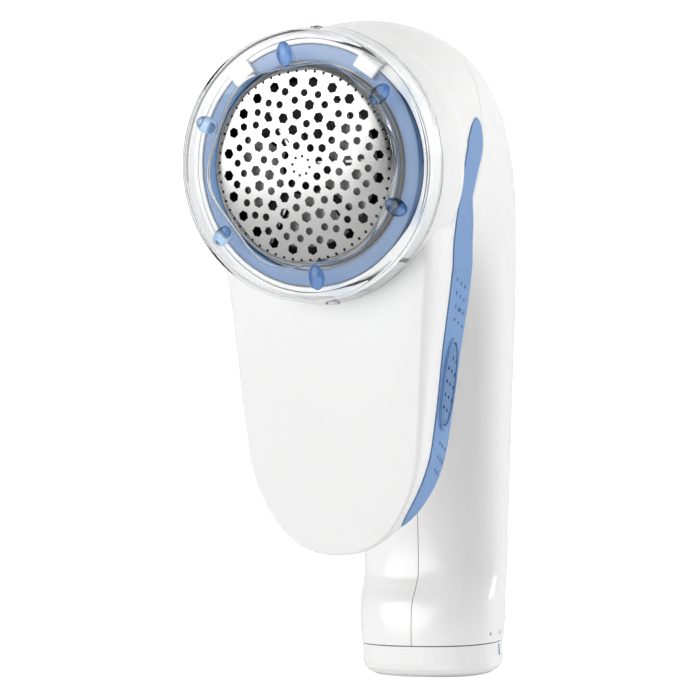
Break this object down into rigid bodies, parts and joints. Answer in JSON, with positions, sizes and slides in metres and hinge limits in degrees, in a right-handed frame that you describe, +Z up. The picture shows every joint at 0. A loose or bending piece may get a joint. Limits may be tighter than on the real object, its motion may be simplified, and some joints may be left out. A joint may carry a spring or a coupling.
{
  "type": "fabric shaver",
  "caption": "Hand-held battery fabric shaver with a round shaving head, clear guard, soft blue side grips, side power button and twist-off battery cap.",
  "frame": {"origin": "centre of the battery cap's flat underside, which the shaver stands on", "axes": "+Z up along the handle, -Y the way the shaving head faces, +X the side with the power button"},
  "size_m": [0.067, 0.0854, 0.1651],
  "materials": {
    "white_gloss": "gloss",
    "white_satin": "satin",
    "blue_plastic": "satin",
    "blue_grip": "matt",
    "clear": "clear gloss",
    "steel": "satin",
    "brass": "satin",
    "copper": "satin",
    "black_plastic": "matt",
    "magnet": "matt",
    "battery": "wrapped",
    "red_wire": "insulated",
    "black_wire": "insulated"
  },
  "bodies": {
    "housing": {"front_shell": "white_gloss", "rear_shell_left": "white_gloss", "rear_shell_right": "white_gloss", "grip_left": "blue_grip", "grip_right": "blue_grip", "switch_body": "black_plastic", "motor_can": "steel", "motor_end_cap": "black_plastic", "magnet_upper": "magnet", "magnet_lower": "magnet", "bearing_front": "brass", "bearing_rear": "brass", "motor_terminal_left": "brass", "motor_terminal_right": "brass", "motor_mount": "white_satin", "mount_screw_1": "steel", "mount_screw_2": "steel", "case_screw_1": "steel", "case_screw_2": "steel", "case_screw_3": "steel", "battery_left": "battery", "battery_right": "battery", "contact_wall": "black_plastic", "contact_positive": "steel", "contact_negative": "steel", "contact_spring_top": "steel", "wire_motor_battery": "red_wire", "wire_motor_switch": "black_wire", "wire_switch_battery": "black_wire"},
    "foil_set": {"foil": "steel"},
    "lock_ring": {"head_frame": "white_satin", "foil_ring": "blue_plastic"},
    "guard": {"clear_guard": "clear"},
    "rotor": {"motor_shaft": "steel", "armature": "copper", "commutator": "copper", "drive_collar": "black_plastic", "lint_fan": "white_satin", "cutter_spring": "steel"},
    "cutter": {"blade_carrier": "black_plastic", "blade_1": "steel", "blade_2": "steel", "blade_3": "steel"},
    "button": {"power_button": "blue_plastic"},
    "bin": {"lint_bin": "white_satin"},
    "contact_plate": {"contact_carrier": "black_plastic", "contact_bridge": "steel", "contact_spring_base": "steel"},
    "cap": {"base_cap": "white_gloss"}
  },
  "joints": [
    {"name": "foil_pull", "type": "slide", "parent": "housing", "child": "foil_set", "axis": [0, -1, 0], "range_m": [0, 0.014]},
    {"name": "ring_twist", "type": "hinge", "parent": "foil_set", "child": "lock_ring", "pos_m": [0, -0.059, 0.13], "axis": [0, 1, 0], "range_deg": [0, 20]},
    {"name": "guard_pull", "type": "slide", "parent": "foil_set", "child": "guard", "axis": [0, -1, 0], "range_m": [0, 0.012]},
    {"name": "rotor_spin", "type": "hinge", "parent": "housing", "child": "rotor", "pos_m": [0, -0.04, 0.13], "axis": [0, -1, 0], "continuous": true},
    {"name": "cutter_float", "type": "slide", "parent": "rotor", "child": "cutter", "axis": [0, 1, 0], "range_m": [0, 0.001], "stiffness_N_per_m": 300, "springref_m": -0.001},
    {"name": "power_press", "type": "slide", "parent": "housing", "child": "button", "axis": [-0.9929, 0, 0.1191], "range_m": [0, 0.0012], "stiffness_N_per_m": 2500, "springref_m": -0.0006},
    {"name": "bin_slide", "type": "slide", "parent": "housing", "child": "bin", "axis": [0, 1, 0], "range_m": [0, 0.02]},
    {"name": "cap_pull", "type": "slide", "parent": "housing", "child": "contact_plate", "axis": [0, 0, -1], "range_m": [0, 0.02]},
    {"name": "cap_twist", "type": "hinge", "parent": "contact_plate", "child": "cap", "pos_m": [0, 0, 0], "axis": [0, 0, -1], "range_deg": [0, 14]}
  ]
}
